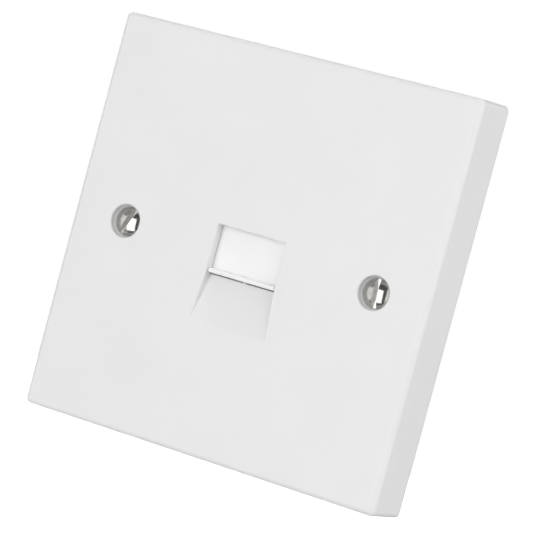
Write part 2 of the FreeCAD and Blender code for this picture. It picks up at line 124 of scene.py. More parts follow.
def moulded_skin():
    """The skin that a polished mould leaves: faint clouding, hairlines and a fine orange peel."""
    tree, given, result = new_group(
        "moulded_skin",
        {"Colour": (0.8, 0.8, 0.8, 1.0), "Roughness": 0.35, "Clouding": 0.02, "Peel Scale": 900.0},
        {"Colour": "Color", "Roughness": "Float", "Height": "Float"})
    place = add_node(tree, "TexCoord").outputs["Object"]
    clouds = add_node(tree, "TexNoise", {"Vector": place, "Scale": cloud_scale, "Detail": 3.0})
    shade = add_node(tree, "MapRange", {"Value": clouds.outputs["Fac"], "From Min": noise_low,
                                        "From Max": noise_high, "To Min": -1.0, "To Max": 1.0})
    depth = add_node(tree, "Math", {0: shade.outputs[0], 1: given.outputs["Clouding"]},
                     operation="MULTIPLY")
    factor = add_node(tree, "Math", {0: depth.outputs[0], 1: 1.0}, operation="ADD")
    tinted = add_node(tree, "VectorMath", {0: given.outputs["Colour"], "Scale": factor.outputs[0]},
                      operation="SCALE")
    tree.links.new(tinted.outputs[0], result.inputs["Colour"])
    stretched = add_node(tree, "Mapping", {"Vector": place, "Rotation": hairline_turn,
                                           "Scale": hairline_stretch})
    lines = add_node(tree, "TexNoise", {"Vector": stretched.outputs[0], "Scale": hairline_scale,
                                        "Detail": 1.0})
    hair = add_node(tree, "MapRange", {"Value": lines.outputs["Fac"], "From Min": hairline_low,
                                       "From Max": hairline_high, "To Min": 0.0,
                                       "To Max": hairline_dulling})
    gloss = add_node(tree, "MapRange", {"Value": clouds.outputs["Fac"], "From Min": noise_low,
                                        "From Max": noise_high, "To Min": -gloss_change,
                                        "To Max": gloss_change})
    dulled = add_node(tree, "Math", {0: given.outputs["Roughness"], 1: gloss.outputs[0]}, operation="ADD")
    marked = add_node(tree, "Math", {0: dulled.outputs[0], 1: hair.outputs[0]}, operation="ADD")
    tree.links.new(marked.outputs[0], result.inputs["Roughness"])
    peel = add_node(tree, "TexNoise", {"Vector": place, "Scale": given.outputs["Peel Scale"],
                                       "Detail": 2.0})
    tree.links.new(peel.outputs["Fac"], result.inputs["Height"])
    return tree


def round_zones():
    """Round zones behind a plane, mirrored sideways and upwards, with the distance to their axis."""
    tree, given, result = new_group(
        "round_zones", {"Across": 0.03, "Up": 0.03, "Radius": 0.0025, "Front": 0.0},
        {"Mark": "Float", "Reach": "Float"})
    place = add_node(tree, "TexCoord").outputs["Object"]
    parts = add_node(tree, "SeparateXYZ", {"Vector": place})
    offsets = []
    for axis, label in (("X", "Across"), ("Z", "Up")):
        size = add_node(tree, "Math", {0: parts.outputs[axis]}, operation="ABSOLUTE")
        offsets.append(add_node(tree, "Math", {0: size.outputs[0], 1: given.outputs[label]},
                                operation="SUBTRACT"))
    offset = add_node(tree, "CombineXYZ", {"X": offsets[0].outputs[0], "Y": offsets[1].outputs[0]})
    reach = add_node(tree, "VectorMath", {0: offset.outputs[0]}, operation="LENGTH")
    inside = add_node(tree, "Math", {0: reach.outputs["Value"], 1: given.outputs["Radius"]},
                      operation="LESS_THAN")
    behind = add_node(tree, "Math", {0: parts.outputs["Y"], 1: given.outputs["Front"]},
                      operation="GREATER_THAN")
    mark = add_node(tree, "Math", {0: inside.outputs[0], 1: behind.outputs[0]}, operation="MULTIPLY")
    tree.links.new(mark.outputs[0], result.inputs["Mark"])
    tree.links.new(reach.outputs["Value"], result.inputs["Reach"])
    return tree


skin_group = moulded_skin()
zone_group = round_zones()


def new_material(name):
    """An empty node material with one glossy shader, returned with its tree."""
    material = bpy.data.materials.new(name)
    material.use_nodes = True
    return material, material.node_tree, material.node_tree.nodes["Principled BSDF"]


def moulded_plastic(name, colour, roughness, edge, clouding=0.02, peel_scale=900.0,
                    peel_depth=0.004 * mm):
    """A moulded plastic with softened edges."""
    material, tree, shader = new_material(name)
    skin = add_node(tree, "Group", node_tree=skin_group)
    for label, value in (("Colour", colour), ("Roughness", roughness), ("Clouding", clouding),
                         ("Peel Scale", peel_scale)):
        skin.inputs[label].default_value = value
    soft = add_node(tree, "Bevel", {"Radius": edge}, samples=edge_samples, name="soft_edge")
    bump = add_node(tree, "Bump", {"Height": skin.outputs["Height"], "Distance": peel_depth,
                                   "Normal": soft.outputs[0]})
    tree.links.new(skin.outputs["Colour"], shader.inputs["Base Color"])
    tree.links.new(skin.outputs["Roughness"], shader.inputs["Roughness"])
    tree.links.new(bump.outputs[0], shader.inputs["Normal"])
    return material


def zone_node(tree, across, up, radius, front):
    """A node that marks round zones at their own places."""
    return add_node(tree, "Group", {"Across": across, "Up": up, "Radius": radius, "Front": front},
                    node_tree=zone_group)


def plate_material():
    """The plate's plastic, with pin marks in its hollow, painted shade in the screw recesses and a rounder
    rear rim.
    """
    material = moulded_plastic("plate_plastic", plate_white, plate_roughness, plate_edge, plate_clouding)
    tree = material.node_tree
    shader = tree.nodes["Principled BSDF"]
    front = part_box("face_plate")[0].y
    pins = zone_node(tree, pin_mark_place[0], pin_mark_place[1], pin_mark_radius, front + pin_mark_start)
    skin_bump = shader.inputs["Normal"].links[0].from_socket
    marked = add_node(tree, "Bump", {"Height": pins.outputs["Mark"], "Distance": pin_mark_depth,
                                     "Normal": skin_bump}, invert=True)
    tree.links.new(marked.outputs[0], shader.inputs["Normal"])
    # Painted shade: the plate's colour is darkened inside each screw recess, most towards the head and
    # least at its rim.
    recess = zone_node(tree, recess_place, 0.0, recess_radius, front + recess_start)
    level = add_node(tree, "MapRange", {"Value": recess.outputs["Reach"],
                                        "From Min": recess_radius - recess_blend,
                                        "From Max": recess_radius, "To Min": recess_painted_shade[0] - 1,
                                        "To Max": recess_painted_shade[1] - 1})
    factor = add_node(tree, "Math", {0: recess.outputs["Mark"], 1: level.outputs[0], 2: 1.0},
                      operation="MULTIPLY_ADD")
    skin_colour = shader.inputs["Base Color"].links[0].from_socket
    painted_shade = add_node(tree, "VectorMath", {0: skin_colour, "Scale": factor.outputs[0]}, operation="SCALE")
    tree.links.new(painted_shade.outputs[0], shader.inputs["Base Color"])
    depth = add_node(tree, "SeparateXYZ", {"Vector": add_node(tree, "TexCoord").outputs["Object"]})
    rim = add_node(tree, "MapRange", {"Value": depth.outputs["Y"], "From Min": -rim_reach,
                                      "From Max": -rim_reach / 2, "To Min": plate_edge, "To Max": rim_edge})
    tree.links.new(rim.outputs[0], tree.nodes["soft_edge"].inputs["Radius"])
    return material


def finish_node(node, material):
    """Gives a carried-over piece its material."""
    frame["nodes"][node].material_slots[0].material = material


finish_node("face_plate", plate_material())


# Shutter. A small sliding door with a lip along its bottom edge, moulded in a slightly whiter plastic.
# It runs between the plate's two rails and is lifted by the plug.
shutter_white = (0.93, 0.93, 0.93, 1)
shutter_roughness = 0.4
shutter_edge = 0.1 * mm
finish_node("shutter", moulded_plastic("shutter_plastic", shutter_white, shutter_roughness, shutter_edge))


# Shutter spring. A compression spring wound from drawn steel wire with closed ends, between the
# shutter's top edge and the plate's shelf. The real one shortens as the shutter rises; here it is one fixed
# coil on the socket body.
spring_wire = 0.3 * mm
spring_coils = 6
spring_end_turns = 0.8
spring_turn_points = 24
spring_sides = 8
spring_smooth_angle = math.radians(60)
steel_grey = (0.5, 0.5, 0.49, 1)
steel_roughness = 0.28
steel_scuffs = 0.15
plating_shades = (0.9, 1.06)
scuff_scale = 6000.0
scuff_stretch = (1.0, 1.0, 0.1)
scuff_turn = (0.5, 0.2, 0.7)
scuff_low, scuff_high = 0.5, 0.75


def plated_metal():
    """A bright drawn or plated metal: faint clouding, fine scuffs and tiny pits."""
    tree, given, result = new_group(
        "plated_metal", {"Colour": (0.6, 0.6, 0.6, 1.0), "Roughness": 0.2, "Scuffs": 0.1, "Scale": 900.0},
        {"Colour": "Color", "Roughness": "Float", "Height": "Float"})
    place = add_node(tree, "TexCoord").outputs["Object"]
    clouds = add_node(tree, "TexNoise", {"Vector": place, "Scale": given.outputs["Scale"], "Detail": 4.0})
    level = add_node(tree, "MapRange", {"Value": clouds.outputs["Fac"], "From Min": noise_low,
                                        "From Max": noise_high, "To Min": plating_shades[0],
                                        "To Max": plating_shades[1]})
    tinted = add_node(tree, "VectorMath", {0: given.outputs["Colour"], "Scale": level.outputs[0]},
                      operation="SCALE")
    tree.links.new(tinted.outputs[0], result.inputs["Colour"])
    stretched = add_node(tree, "Mapping", {"Vector": place, "Scale": scuff_stretch, "Rotation": scuff_turn})
    lines = add_node(tree, "TexNoise", {"Vector": stretched.outputs[0], "Scale": scuff_scale,
                                        "Detail": 2.0})
    scuff = add_node(tree, "MapRange", {"Value": lines.outputs["Fac"], "From Min": scuff_low,
                                        "From Max": scuff_high})
    rubbed = add_node(tree, "Math", {0: scuff.outputs[0], 1: given.outputs["Scuffs"]}, operation="MULTIPLY")
    dulled = add_node(tree, "Math", {0: given.outputs["Roughness"], 1: rubbed.outputs[0]}, operation="ADD")
    tree.links.new(dulled.outputs[0], result.inputs["Roughness"])
    tree.links.new(lines.outputs["Fac"], result.inputs["Height"])
    return tree


metal_group = plated_metal()


def bright_metal(name, colour, roughness, scuffs=0.1, scale=900.0, edge=0.06 * mm, depth=0.0015 * mm):
    """A metal with its own colour and sheen and with softened edges."""
    material, tree, shader = new_material(name)
    plating = add_node(tree, "Group", node_tree=metal_group)
    for label, value in (("Colour", colour), ("Roughness", roughness), ("Scuffs", scuffs),
                         ("Scale", scale)):
        plating.inputs[label].default_value = value
    soft = add_node(tree, "Bevel", {"Radius": edge}, samples=edge_samples)
    bump = add_node(tree, "Bump", {"Height": plating.outputs["Height"], "Distance": depth,
                                   "Normal": soft.outputs[0]})
    shader.inputs["Metallic"].default_value = 1.0
    tree.links.new(plating.outputs["Colour"], shader.inputs["Base Color"])
    tree.links.new(plating.outputs["Roughness"], shader.inputs["Roughness"])
    tree.links.new(bump.outputs[0], shader.inputs["Normal"])
    return material


def new_piece(name, mesh, material, body, smooth_angle=math.radians(35)):
    """A piece of the object from a finished mesh: shaded, coloured and riding on its body."""
    mesh.shade_smooth()
    mesh.set_sharp_from_angle(angle=smooth_angle)
    mesh.materials.clear()
    mesh.materials.append(material)
    piece = bpy.data.objects.new(name, mesh)
    bpy.context.scene.collection.objects.link(piece)
    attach(piece, body)
    return piece


def wire_mesh(name, path, radius, sides):
    """A round wire along a smooth path, closed at both ends."""
    made = bmesh.new()
    rings = []
    across = None
    for number, point in enumerate(path):
        before, after = path[max(number - 1, 0)], path[min(number + 1, len(path) - 1)]
        along = (after - before).normalized()
        across = (across or along.orthogonal()) - along * (across or along.orthogonal()).dot(along)
        across.normalize()
        other = along.cross(across)
        turns = [2 * math.pi * side / sides for side in range(sides)]
        rings.append([made.verts.new(point + radius * (across * math.cos(turn) + other * math.sin(turn)))
                      for turn in turns])
    for ring, following in zip(rings, rings[1:]):
        for side in range(sides):
            beside = (side + 1) % sides
            made.faces.new((ring[side], ring[beside], following[beside], following[side]))
    made.faces.new(list(reversed(rings[0])))
    made.faces.new(rings[-1])
    bmesh.ops.recalc_face_normals(made, faces=made.faces)
    mesh = bpy.data.meshes.new(name)
    made.to_mesh(mesh)
    made.free()
    return mesh


def spring_path():
    """The coil's centreline: the turns lie close at both ends and are evenly open between them."""
    low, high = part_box("shutter_spring")
    centre = (low + high) / 2
    mean_radius = (high.x - low.x - spring_wire) / 2
    bottom, top = low.z + spring_wire / 2, high.z - spring_wire / 2
    closed = spring_end_turns * spring_wire
    open_turns = spring_coils - 2 * spring_end_turns
    points = []
    for step in range(spring_coils * spring_turn_points + 1):
        turn = step / spring_turn_points
        share = min(max((turn - spring_end_turns) / open_turns, 0), 1)
        ends = min(turn, spring_end_turns) + max(turn - spring_coils + spring_end_turns, 0)
        z = bottom + ends * spring_wire + share * (top - bottom - 2 * closed)
        angle = 2 * math.pi * turn
        points.append(Vector((centre.x + mean_radius * math.cos(angle),
                              centre.y + mean_radius * math.sin(angle), z)))
    return points


spring_steel = bright_metal("spring_steel", steel_grey, steel_roughness, steel_scuffs)
spring = new_piece("spring_coil", wire_mesh("spring_coil", spring_path(), spring_wire / 2, spring_sides),
                   spring_steel, "socket", spring_smooth_angle)
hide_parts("shutter_spring")
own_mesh(spring)


# Jack body. A box moulded in satin white nylon that takes the plug, with an ear each side for a
# screw and two pegs that find the circuit board.
jack_white = (0.76, 0.76, 0.74, 1)
jack_roughness = 0.45
jack_edge = 0.12 * mm
nylon_peel_scale = 1400.0
finish_node("jack_body", moulded_plastic("jack_plastic", jack_white, jack_roughness, jack_edge,
                                         peel_scale=nylon_peel_scale))


# Contact carrier. A black glass-filled insert in the floor of the jack, with a groove for each wire.
# It is pressed in from behind with the wires in place.
carrier_black = (0.025, 0.025, 0.027, 1)
carrier_roughness = 0.5
carrier_edge = 0.06 * mm
carrier_clouding = 0.15
carrier_peel_scale = 2500.0
finish_node("contact_carrier", moulded_plastic("carrier_plastic", carrier_black, carrier_roughness,
                                               carrier_edge, carrier_clouding, carrier_peel_scale))


# Contact wires. Six flat strips of phosphor bronze with a gold flash, bent back over the carrier's
# front edge so that they spring against the plug.
gold = (0.92, 0.66, 0.28, 1)
gold_roughness = 0.2
gold_scuffs = 0.12
sheet_edge = 0.05 * mm
contact_gold = bright_metal("contact_gold", gold, gold_roughness, gold_scuffs, edge=sheet_edge)
for node in frame["nodes"]:
    if node.startswith("contact_wire"):
        finish_node(node, contact_gold)


# Circuit board. Glass epoxy with a green solder mask, copper tracks under it from the contact pins to
# the terminals, and tinned pads with solder at every leg. The jack's pegs and the joints hold it.
board_green = (0.02, 0.13, 0.055, 1)
track_green = (0.04, 0.22, 0.085, 1)
laminate = (0.42, 0.40, 0.24, 1)
solder_grey = (0.62, 0.62, 0.6, 1)
board_roughness = 0.28
board_clouding = 0.12
board_peel_scale = 700.0
board_face_skin = 0.05 * mm
weave_scale = 2600.0
weave_depth = 0.004 * mm
weave_strength = 0.5
track_roughness = 0.25
track_clouding = 0.1
track_edge = 0.03 * mm
solder_roughness = 0.22
solder_scale = 2500.0
contact_count = 6
track_width = 0.55 * mm
track_height = 0.035 * mm
track_corner = 1.6 * mm
pad_height = 0.03 * mm
pin_pad_radius = 0.62 * mm
pin_solder_radius = 0.3 * mm
pin_solder_height = 0.55 * mm
pin_rise = 0.15 * mm
leg_pad_radius = 0.95 * mm
leg_solder_radius = 0.42 * mm
leg_solder_height = 0.7 * mm
solder_spread = 0.9
solder_hollow = 2.2
solder_steps = 6
round_columns = 28


def board_material():
    """Green mask on both faces, bare laminate on the cut edges, and a faint weave in the gloss."""
    material, tree, shader = new_material("board_mask")
    low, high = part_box("circuit_board")
    place = add_node(tree, "TexCoord").outputs["Object"]
    parts = add_node(tree, "SeparateXYZ", {"Vector": place})
    middle = (low.y + high.y) / 2
    depth = add_node(tree, "Math", {0: parts.outputs["Y"], 1: middle}, operation="SUBTRACT")
    distance = add_node(tree, "Math", {0: depth.outputs[0]}, operation="ABSOLUTE")
    face = add_node(tree, "Math", {0: distance.outputs[0], 1: (high.y - low.y) / 2 - board_face_skin},
                    operation="GREATER_THAN")
    skin = add_node(tree, "Group", node_tree=skin_group)
    for label, value in (("Colour", board_green), ("Roughness", board_roughness),
                         ("Clouding", board_clouding), ("Peel Scale", board_peel_scale)):
        skin.inputs[label].default_value = value
    colour = add_node(tree, "Mix", {"Factor": face.outputs[0]}, data_type="RGBA")
    colour.inputs["A"].default_value = laminate
    tree.links.new(skin.outputs["Colour"], colour.inputs["B"])
    weave = add_node(tree, "TexChecker", {"Vector": place, "Scale": weave_scale})
    woven = add_node(tree, "Math", {0: skin.outputs["Height"], 1: weave.outputs["Fac"]}, operation="ADD")
    bump = add_node(tree, "Bump", {"Height": woven.outputs[0], "Distance": weave_depth,
                                   "Strength": weave_strength})
    tree.links.new(colour.outputs["Result"], shader.inputs["Base Color"])
    tree.links.new(skin.outputs["Roughness"], shader.inputs["Roughness"])
    tree.links.new(bump.outputs[0], shader.inputs["Normal"])
    return material


def revolved(made, profile, centre, columns=round_columns):
    """Adds a turned solid to a bmesh, about the Y axis through a centre, from its (radius, y) profile."""
    rings = []
    for radius, y in profile:
        if radius < 1e-9:
            rings.append([made.verts.new(centre + Vector((0, y, 0)))])
            continue
        turns = [2 * math.pi * column / columns for column in range(columns)]
        rings.append([made.verts.new(centre + Vector((radius * math.cos(turn), y, radius * math.sin(turn))))
                      for turn in turns])
    for ring, following in zip(rings, rings[1:]):
        for column in range(columns):
            beside = (column + 1) % columns
            corners = [ring[column % len(ring)], following[column % len(following)],
                       following[beside % len(following)], ring[beside % len(ring)]]
            kept = [corner for number, corner in enumerate(corners) if corner not in corners[:number]]
            made.faces.new(kept)
    return rings


def finished_mesh(name, made):
    """A mesh from a bmesh, with its faces turned outwards."""
    bmesh.ops.recalc_face_normals(made, faces=made.faces)
    mesh = bpy.data.meshes.new(name)
    made.to_mesh(mesh)
    made.free()
    return mesh


def solder_profile(pad_radius, pin_radius, height):
    """A solder cone with hollow sides that climbs from its pad to the pin."""
    profile = [(0, -pad_height), (pad_radius, -pad_height), (pad_radius, 0)]
    for step in range(solder_steps + 1):
        share = step / solder_steps
        radius = pin_radius + (solder_spread * pad_radius - pin_radius) * (1 - share) ** solder_hollow
        profile.append((radius, height * share))
    return profile + [(0, height)]


def solder_joints():
    """Every joint on both faces: the contact pins behind the board, the terminal legs in front of it."""
    made = bmesh.new()
    low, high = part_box("circuit_board")
    for node in frame["nodes"]:
        if node.startswith("contact_wire"):
            pin_low, pin_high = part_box(node)
            centre = Vector(((pin_low.x + pin_high.x) / 2, high.y + pad_height, pin_low.z + pin_rise))
            revolved(made, solder_profile(pin_pad_radius, pin_solder_radius, pin_solder_height), centre)
        if node.startswith("terminal_fork"):
            leg_low, leg_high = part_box(node)
            centre = Vector(((leg_low.x + leg_high.x) / 2, low.y - pad_height,
                             (leg_low.z + leg_high.z) / 2))
            profile = solder_profile(leg_pad_radius, leg_solder_radius, leg_solder_height)
            revolved(made, [(radius, -y) for radius, y in profile], centre)
    return finished_mesh("solder_joints", made)


def track_mesh():
    """Six flat tracks on the board's rear face, each from a contact pin out to its terminal."""
    made = bmesh.new()
    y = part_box("circuit_board")[1].y
    for number in range(contact_count // 2):
        pin_low, pin_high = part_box(f"contact_wire_{number + 1}")
        fork_low, fork_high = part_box(f"terminal_fork_{contact_count // 2 - number}")
        pin = Vector(((pin_low.x + pin_high.x) / 2, pin_low.z + pin_rise))
        end = Vector(((fork_low.x + fork_high.x) / 2, (fork_low.z + fork_high.z) / 2))
        route = [pin, end]
        if number:
            route = [pin, Vector((pin.x, end.y - track_corner)), Vector((pin.x - track_corner, end.y)),
                     end]
        for side in (-1, 1):
            points = [Vector((-side * point.x, point.y)) for point in route]
            add_strip(made, points, y)
    return finished_mesh("board_tracks", made)


def add_strip(made, points, y):
    """A flat raised strip along a route of (x, z) points, with mitred corners."""
    edges = []
    for number, point in enumerate(points):
        directions = []
        if number:
            directions.append((point - points[number - 1]).normalized())
        if number < len(points) - 1:
            directions.append((points[number + 1] - point).normalized())
        mean = sum(directions, Vector((0, 0))).normalized()
        half = track_width / 2 / mean.dot(directions[0])
        across = Vector((-mean.y, mean.x)) * half
        under, over = y - pad_height, y + track_height
        corners = ((point - across, under), (point - across, over), (point + across, over),
                   (point + across, under))
        edges.append([made.verts.new((place.x, height, place.y)) for place, height in corners])
    for start, following in zip(edges, edges[1:]):
        for corner in range(4):
            beside = (corner + 1) % 4
            made.faces.new((start[corner], start[beside], following[beside], following[corner]))
    made.faces.new(list(reversed(edges[0])))
    made.faces.new(edges[-1])


finish_node("circuit_board", board_material())
track_mask = moulded_plastic("track_mask", track_green, track_roughness, track_edge, track_clouding)
new_piece("board_tracks", track_mesh(), track_mask, "socket")
solder = bright_metal("solder", solder_grey, solder_roughness, scale=solder_scale)
new_piece("solder_joints", solder_joints(), solder, "socket")


# Terminal strips. Two blocks of push-in wire terminals, moulded in satin white nylon. Each stands on
# the board with three wire slots and a pocket for a fork at each slot.
strip_white = (0.78, 0.78, 0.76, 1)
strip_roughness = 0.42
strip_edge = 0.12 * mm
strip_plastic = moulded_plastic("strip_plastic", strip_white, strip_roughness, strip_edge,
                                peel_scale=nylon_peel_scale)
for side in ("left", "right"):
    finish_node(f"terminal_strip_{side}", strip_plastic)


# Terminal forks. Sheet bronze stampings, tinned. Each cuts into the wire pushed into its slot and is
# soldered through the board.
tin_grey = (0.66, 0.65, 0.62, 1)
tin_roughness = 0.3
tin_scuffs = 0.2
fork_tin = bright_metal("fork_tin", tin_grey, tin_roughness, tin_scuffs, edge=sheet_edge)
for node in frame["nodes"]:
    if node.startswith("terminal_fork"):
        finish_node(node, fork_tin)


# Module screws. Zinc-plated pan head screws with a cross recess that cut their own thread in the
# plate's posts and hold the jack body by its ears.
zinc_grey = (0.58, 0.59, 0.6, 1)
zinc_roughness = 0.3
zinc_scuffs = 0.15
zinc_scale = 1500.0
module_head_height = 1.5 * mm
module_head_round = 0.7 * mm
module_head_edge = 0.2 * mm
module_crown_steps = 10
module_columns = 48
module_core_radius = 0.75 * mm
module_point = 0.8 * mm
cross_length = 2.5 * mm
cross_width = 0.62 * mm
cross_depth = 0.95 * mm
cross_taper = 0.55
thread_columns = 36
thread_form = ((0.0, 0.0), (0.12, 0.0), (0.46, 1.0), (0.60, 1.0), (0.94, 0.0))
thread_run_out = 0.6
weld_distance = 0.001 * mm
sliver_size = 0.0005 * mm


def thread_ring_points(start, end, core, crest, pitch, run_out):
    """The rows of a thread between two planes: a helix that rises from the core and fades at its ends."""
    turns = int((end - start) / pitch) + 2
    rows = []
    for row in range(turns * len(thread_form)):
        turn, (share, lift) = row // len(thread_form), thread_form[row % len(thread_form)]
        ring = []
        for column in range(thread_columns):
            part_turn = column / thread_columns
            y = start + pitch * (turn - 1 + share + part_turn)
            inside = min(max(y, start), end)
            fade = min(max(min(y - start, end - y) / run_out, 0), 1)
            angle = 2 * math.pi * part_turn
            radius = core + (crest - core) * lift * fade
            ring.append(Vector((radius * math.cos(angle), inside, radius * math.sin(angle))))
        rows.append(ring)
    return rows


def add_thread(made, centre, start, end, core, crest, pitch, run_out):
    """Adds a threaded length to a bmesh. Its first and last rows lie flat at the core's radius."""
    rows = thread_ring_points(start, end, core, crest, pitch, run_out)
    verts = [[made.verts.new(centre + point) for point in row] for row in rows]
    for row in range(len(rows) - 1):
        for column in range(thread_columns):
            beside = (column + 1) % thread_columns
            shift = len(thread_form) if beside == 0 else 0
            if row + 1 + shift < len(rows):
                made.faces.new((verts[row][column], verts[row + shift][beside],
                                verts[row + 1 + shift][beside], verts[row + 1][column]))


def combine(piece, other, operation):
    """Cuts or joins another closed mesh into a piece, and deletes the other."""
    step = piece.modifiers.new("combine", "BOOLEAN")
    step.operation, step.solver, step.object = operation, "EXACT", other
    bpy.context.view_layer.update()
    made = bpy.data.meshes.new_from_object(piece.evaluated_get(bpy.context.evaluated_depsgraph_get()))
    piece.modifiers.clear()
    piece.data = made
    bpy.data.objects.remove(other)


def loose_object(name, mesh):
    """An object that is only a step of the making."""
    made = bpy.data.objects.new(name, mesh)
    bpy.context.scene.collection.objects.link(made)
    return made


def block_object(name, size, centre, angle=0.0, taper=1.0):
    """A straight cutter with its own size, centre and turn about Y. Its front end may be narrower."""
    made = bmesh.new()
    bmesh.ops.create_cube(made, size=1.0)
    for vert in made.verts:
        narrow = taper if vert.co.y < 0 else 1.0
        vert.co = Vector((vert.co.x * size[0] * narrow, vert.co.y * size[1], vert.co.z * size[2] * narrow))
    turn = Matrix.Rotation(angle, 4, "Y")
    bmesh.ops.transform(made, matrix=Matrix.Translation(centre) @ turn, verts=made.verts)
    return loose_object(name, finished_mesh(name, made))


def shank_object(name, centre, start, end, core, crest, pitch, point):
    """A threaded shank with a short point, as one closed mesh along +Y."""
    made = bmesh.new()
    thread_end = end - point
    add_thread(made, centre, start, thread_end, core, crest, pitch, thread_run_out * pitch)
    bmesh.ops.remove_doubles(made, verts=made.verts, dist=weld_distance)
    bmesh.ops.dissolve_degenerate(made, dist=sliver_size, edges=made.edges)
    open_edges = [edge for edge in made.edges if edge.is_boundary]
    first = [edge for edge in open_edges if edge.verts[0].co.y < centre.y + (start + end) / 2]
    last = [edge for edge in open_edges if edge not in first]
    bmesh.ops.contextual_create(made, geom=first)
    tip = made.verts.new(centre + Vector((0, end, 0)))
    for edge in last:
        made.faces.new((edge.verts[0], edge.verts[1], tip))
    return loose_object(name, finished_mesh(name, made))


def dome_points(radius, height, top, steps):
    """The (radius, y) points of a dome from its top to its rim."""
    sphere = (radius ** 2 + height ** 2) / (2 * height)
    reach = math.asin(radius / sphere)
    return [(sphere * math.sin(reach * step / steps), top + sphere * (1 - math.cos(reach * step / steps)))
            for step in range(steps + 1)]


def module_screw(side):
    """One pan head screw. Its head bears on the jack's ear and its point lies in the post."""
    node = f"module_screw_{side}"
    low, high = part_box(node)
    centre = Vector(((low.x + high.x) / 2, 0, (low.z + high.z) / 2))
    head_radius = (high.x - low.x) / 2
    seat = high.y - module_head_height
    made = bmesh.new()
    crown = dome_points(head_radius - module_head_edge, module_head_round, 0, module_crown_steps)
    profile = [(radius, high.y - y) for radius, y in crown]
    profile += [(head_radius, high.y - module_head_round - module_head_edge), (head_radius, seat),
                (module_core_radius, seat), (module_core_radius, low.y + module_point), (0, low.y)]
    revolved(made, profile, centre, module_columns)
    screw = loose_object(node, finished_mesh(node, made))
    for angle in (0, math.pi / 2):
        size = (cross_length, 2 * cross_depth, cross_width)
        place = Vector((centre.x, high.y, centre.z))
        combine(screw, block_object("cross", size, place, angle, cross_taper), "DIFFERENCE")
    mesh = screw.data
    bpy.data.objects.remove(screw)
    return mesh


zinc_plate = bright_metal("zinc_plate", zinc_grey, zinc_roughness, zinc_scuffs, zinc_scale)
for side in ("left", "right"):
    screw = new_piece(f"module_screw_{side}_turned", module_screw(side), zinc_plate, "socket")
    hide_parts(f"module_screw_{side}")


# Fixing screws. M3.5 raised countersunk screws in bright nickel-plated steel, with a milled slot and a
# waisted neck under the head. They pass through the plate's bosses into the lugs of the wall box.
nickel = (0.62, 0.61, 0.59, 1)
nickel_roughness = 0.1
nickel_scuffs = 0.06
nickel_scale = 1200.0
nickel_edge = 0.05 * mm
dome_height = 0.85 * mm
dome_steps = 18
head_columns = 96
head_rim = 0.15 * mm
neck_radius = 1.5 * mm
thread_start = -1.4 * mm
thread_core = 1.42 * mm
thread_crest = 1.75 * mm
thread_pitch = 0.6 * mm
thread_point = 1.0 * mm
thread_root = 0.3 * mm
slot_width = 1.05 * mm
slot_depth = 1.1 * mm
slot_lean = {"left": math.radians(22.8), "right": math.radians(-4.2)}


def fixing_screw(side):
    """One fixing screw: a turned head and neck with a rolled thread joined on, then slotted."""
    node = f"fixing_screw_{side}"
    low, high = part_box(node)
    centre = Vector(((low.x + high.x) / 2, 0, 0))
    head_radius = (high.x - low.x) / 2
    rim = low.y + dome_height
    cone = rim + head_rim
    neck = cone + head_radius - neck_radius
    profile = dome_points(head_radius, dome_height, low.y, dome_steps)
    profile += [(head_radius, cone), (neck_radius, neck), (neck_radius, thread_start), (0, thread_start)]
    made = bmesh.new()
    revolved(made, profile, centre, head_columns)
    screw = loose_object(node, finished_mesh(node, made))
    shank = shank_object("shank", centre, thread_start - thread_root, high.y, thread_core, thread_crest,
                         thread_pitch, thread_point)
    combine(screw, shank, "UNION")
    size = (slot_width, 2 * slot_depth, 4 * head_radius)
    slot = block_object("slot", size, Vector((centre.x, low.y, 0)), slot_lean[side])
    combine(screw, slot, "DIFFERENCE")
    mesh = screw.data
    bpy.data.objects.remove(screw)
    return mesh


nickel_plate = bright_metal("nickel_plate", nickel, nickel_roughness, nickel_scuffs, nickel_scale,
                            nickel_edge)
for side in ("left", "right"):
    screw = new_piece(f"fixing_screw_{side}_turned", fixing_screw(side), nickel_plate, "socket")
    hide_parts(f"fixing_screw_{side}")


# Screw retainers. Soft natural polythene washers pushed over the screws' necks behind the bosses, so
# that the screws stay in the plate when it is off the wall.
retainer_white = (0.66, 0.64, 0.58, 1)
retainer_roughness = 0.5
retainer_edge = 0.15 * mm
retainer_peel_scale = 1800.0
retainer_plastic = moulded_plastic("retainer_plastic", retainer_white, retainer_roughness, retainer_edge,
                                   peel_scale=retainer_peel_scale)
for side in ("left", "right"):
    finish_node(f"screw_retainer_{side}", retainer_plastic)


# Room, lamps and camera. A pale floor well below the socket, a large soft lamp in front of the plate and
# weaker ones round it. Far cards, seen only in reflections, are the studio that the polished screw heads
# mirror: a bright softbox with darker walls round it.
floor_height = -0.36
floor_size = 6.0
floor_grey = (0.8, 0.8, 0.8, 1)
floor_roughness = 0.9
floor_near, floor_far = 0.3, 0.7
floor_glow_near, floor_glow_far = 0.42, 1.0
world_light = 0.4
white, black = (1, 1, 1, 1), (0, 0, 0, 1)
# Each lamp: azimuth, elevation, distance, width, height, radiance, and whether it shows in reflections.
lamps = {
    "front_lamp": (-10, 1, 0.7, 0.46, 0.62, 2.17, False),
    "right_lamp": (58, 22, 0.6, 0.45, 0.5, 1.15, True),
    "side_lamp": (98, 10, 0.6, 0.5, 0.5, 1.0, True),
    "top_lamp": (20, 75, 0.6, 0.4, 0.4, 1.2, True),
    "rear_lamp": (190, 30, 0.7, 0.5, 0.5, 1.8, False),
}
